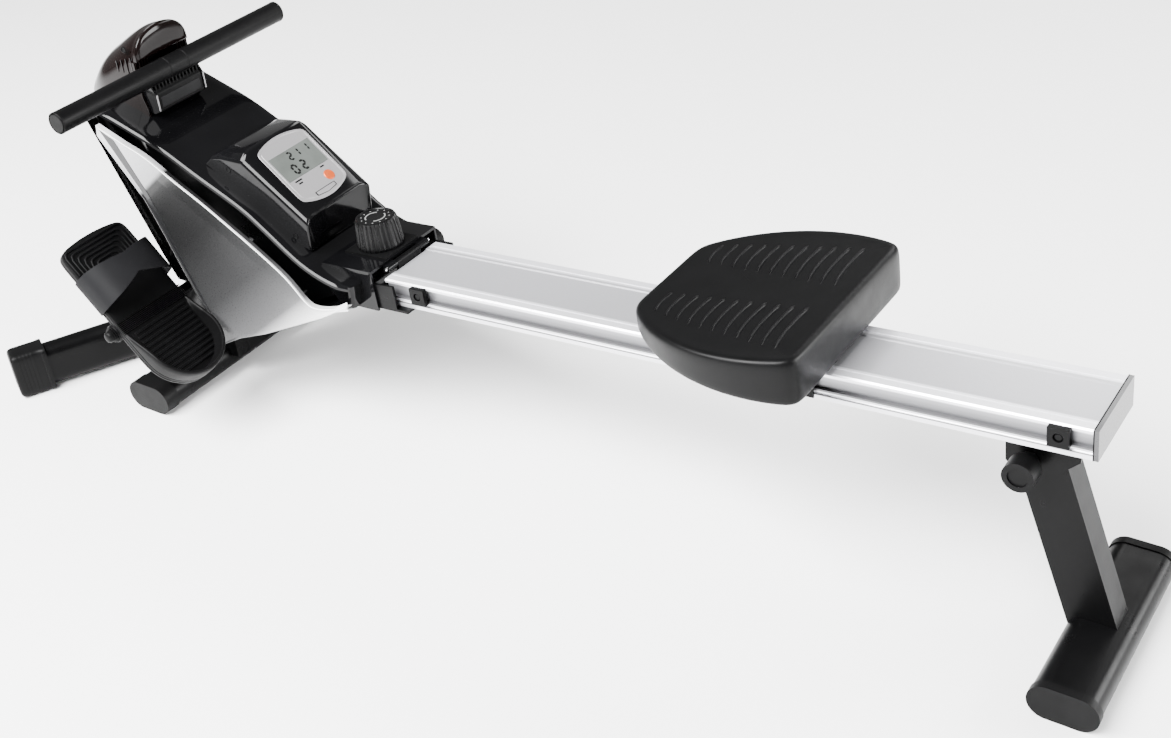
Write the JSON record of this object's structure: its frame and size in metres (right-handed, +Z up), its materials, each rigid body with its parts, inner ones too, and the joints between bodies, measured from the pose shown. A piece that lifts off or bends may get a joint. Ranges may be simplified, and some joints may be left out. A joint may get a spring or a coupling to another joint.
{
  "type": "rowing machine",
  "caption": "Magnetic rowing machine with a strap pulled handle, padded rolling seat on an aluminium rail, tilting foot plates and folding rear leg.",
  "frame": {"origin": "on the floor, under the middle of the whole machine", "axes": "+X from the drive housing to the rear foot, +Y across the machine, +Z up"},
  "size_m": [1.7806, 0.514, 0.6],
  "materials": {
    "frame_paint": "satin",
    "plated_steel": "plated",
    "black_paint": "gloss powder coat",
    "black_plastic": "fine grain",
    "gloss_shell": "high gloss",
    "silver_plastic": "satin silver",
    "grey_plastic": "fine grain",
    "screen": "smooth",
    "board": "smooth",
    "orange_plastic": "smooth",
    "rubber_black": "matte",
    "cast_iron": "machined rim",
    "magnet": "nickel plated",
    "strap_web": "woven",
    "strap_rubber": "matte",
    "rail_aluminium": "anodised",
    "seat_skin": "moulded foam skin"
  },
  "bodies": {
    "frame": {"main_frame": "frame_paint", "pedal_axle": "plated_steel", "axle_nuts": "plated_steel", "front_stabilizer": "black_paint", "front_stabilizer_caps": "black_plastic", "middle_stabilizer": "black_paint", "middle_stabilizer_caps": "black_plastic", "rail_bracket": "black_paint", "hinge_pin": "plated_steel", "centre_shell": "gloss_shell", "side_panel_near": "silver_plastic", "side_panel_far": "silver_plastic", "hood": "gloss_shell", "handle_rest": "grey_plastic", "console_case": "gloss_shell", "console_bezel": "silver_plastic", "console_screen": "screen", "circuit_board": "board", "knob_plate": "black_plastic", "tension_cable": "rubber_black", "flywheel_axle": "plated_steel", "flywheel_bearings": "plated_steel", "reel_axle": "plated_steel", "recoil_spring": "plated_steel", "drive_belt": "rubber_black", "cross_pins": "plated_steel", "pull_strap": "strap_web"},
    "flywheel": {"flywheel": "cast_iron"},
    "drive_pulley": {"flywheel_pulley": "plated_steel"},
    "reel": {"strap_reel": "grey_plastic"},
    "guide": {"guide_roller": "grey_plastic"},
    "brake": {"magnet_arm": "plated_steel", "brake_magnets": "magnet"},
    "tension": {"tension_knob": "black_plastic"},
    "button": {"console_button": "orange_plastic"},
    "handle": {"handle_tube": "black_paint", "handle_sleeve": "black_plastic", "handle_grips": "rubber_black", "handle_end_plugs": "black_plastic"},
    "pedal_near": {"foot_plate_near": "black_plastic", "foot_strap_near": "strap_rubber"},
    "pedal_far": {"foot_plate_far": "black_plastic", "foot_strap_far": "strap_rubber"},
    "rail": {"rail": "rail_aluminium", "rail_shoe": "black_paint", "rail_end_gasket": "rubber_black", "rail_end_cap": "silver_plastic", "rail_stops": "black_plastic", "leg_bracket": "black_paint", "leg_pivot_bolt": "plated_steel"},
    "fold_knob": {"fold_lock_knob": "black_plastic"},
    "seat": {"seat_pad": "seat_skin", "seat_carriage": "black_paint"},
    "roller_front": {"front_rollers": "grey_plastic"},
    "roller_rear": {"rear_rollers": "grey_plastic"},
    "guide_front": {"guide_rollers_front": "grey_plastic"},
    "guide_rear": {"guide_rollers_rear": "grey_plastic"},
    "leg": {"rear_leg": "black_paint", "rear_foot_caps": "black_plastic"},
    "leg_knob": {"leg_lock_knob": "black_plastic"}
  },
  "joints": [
    {"name": "rail_fold", "type": "hinge", "parent": "frame", "child": "rail", "pos_m": [-0.19643, 0, 0.29701], "axis": [0, 1, 0], "range_deg": [-85, 0]},
    {"name": "leg_fold", "type": "hinge", "parent": "rail", "child": "leg", "pos_m": [0.74437, 0, 0.26602], "axis": [0, -1, 0], "range_deg": [-80, 0]},
    {"name": "seat_slide", "type": "slide", "parent": "rail", "child": "seat", "axis": [0.998, 0, 0.0628], "range_m": [-0.391, 0.285]},
    {"name": "roller_front_spin", "type": "hinge", "parent": "seat", "child": "roller_front", "pos_m": [0.30605, 0, 0.33704], "axis": [0, 1, 0], "range_deg": [-1475, 1081]},
    {"name": "roller_rear_spin", "type": "hinge", "parent": "seat", "child": "roller_rear", "pos_m": [0.45575, 0, 0.34646], "axis": [0, 1, 0], "range_deg": [-1475, 1081]},
    {"name": "guide_front_spin", "type": "hinge", "parent": "seat", "child": "guide_front", "pos_m": [0.32493, 0, 0.30777], "axis": [0, 1, 0], "range_deg": [-2261, 1653]},
    {"name": "guide_rear_spin", "type": "hinge", "parent": "seat", "child": "guide_rear", "pos_m": [0.47363, 0, 0.31712], "axis": [0, 1, 0], "range_deg": [-2261, 1653]},
    {"name": "leg_knob_turn", "type": "hinge", "parent": "rail", "child": "leg_knob", "pos_m": [0.74437, 0, 0.26602], "axis": [0, 1, 0], "range_deg": [0, 360]},
    {"name": "fold_knob_turn", "type": "hinge", "parent": "frame", "child": "fold_knob", "pos_m": [-0.22767, 0, 0.26799], "axis": [0, -1, 0], "range_deg": [0, 360]},
    {"name": "handle_pull", "type": "slide", "parent": "frame", "child": "handle", "axis": [1, 0, 0], "range_m": [0, 1.05], "stiffness_N_per_m": 15, "springref_m": -1.2, "deforming": ["pull_strap"]},
    {"name": "reel_spin", "type": "hinge", "parent": "frame", "child": "reel", "pos_m": [-0.62, 0, 0.403], "axis": [0, 1, 0], "range_deg": [0, 2146]},
    {"name": "guide_spin", "type": "hinge", "parent": "frame", "child": "guide", "pos_m": [-0.644, 0, 0.516], "axis": [0, 1, 0], "range_deg": [0, 5119]},
    {"name": "pulley_spin", "type": "hinge", "parent": "frame", "child": "drive_pulley", "pos_m": [-0.484, 0, 0.264], "axis": [0, 1, 0], "range_deg": [0, 7309]},
    {"name": "flywheel_spin", "type": "hinge", "parent": "frame", "child": "flywheel", "pos_m": [-0.484, 0, 0.264], "axis": [0, 1, 0], "continuous": true},
    {"name": "tension_turn", "type": "hinge", "parent": "frame", "child": "tension", "pos_m": [-0.24309, 0, 0.3061], "axis": [-0.0628, 0, 0.998], "range_deg": [0, 270]},
    {"name": "magnet_swing", "type": "hinge", "parent": "frame", "child": "brake", "pos_m": [-0.386, 0, 0.204], "axis": [0, -1, 0], "range_deg": [0, 4.2]},
    {"name": "button_press", "type": "slide", "parent": "frame", "child": "button", "axis": [-0.625, 0, -0.7807], "range_m": [0, 0.0015], "stiffness_N_per_m": 400, "springref_m": -0.001},
    {"name": "pedal_near_tilt", "type": "hinge", "parent": "frame", "child": "pedal_near", "pos_m": [-0.594, 0, 0.19], "axis": [0, 1, 0], "range_deg": [-26, 31]},
    {"name": "pedal_far_tilt", "type": "hinge", "parent": "frame", "child": "pedal_far", "pos_m": [-0.594, 0, 0.19], "axis": [0, 1, 0], "range_deg": [-26, 31]}
  ],
  "couplings": [
    {"joint": "roller_front_spin", "follows": "seat_slide", "rad_per_m": 64.935},
    {"joint": "roller_rear_spin", "follows": "seat_slide", "rad_per_m": 64.935},
    {"joint": "guide_front_spin", "follows": "seat_slide", "rad_per_m": 100},
    {"joint": "guide_rear_spin", "follows": "seat_slide", "rad_per_m": 100},
    {"joint": "reel_spin", "follows": "handle_pull", "rad_per_m": 35.336},
    {"joint": "guide_spin", "follows": "handle_pull", "rad_per_m": 84.746},
    {"joint": "pulley_spin", "follows": "handle_pull", "rad_per_m": 121.15},
    {"joint": "magnet_swing", "follows": "tension_turn", "ratio": 0.014815}
  ]
}
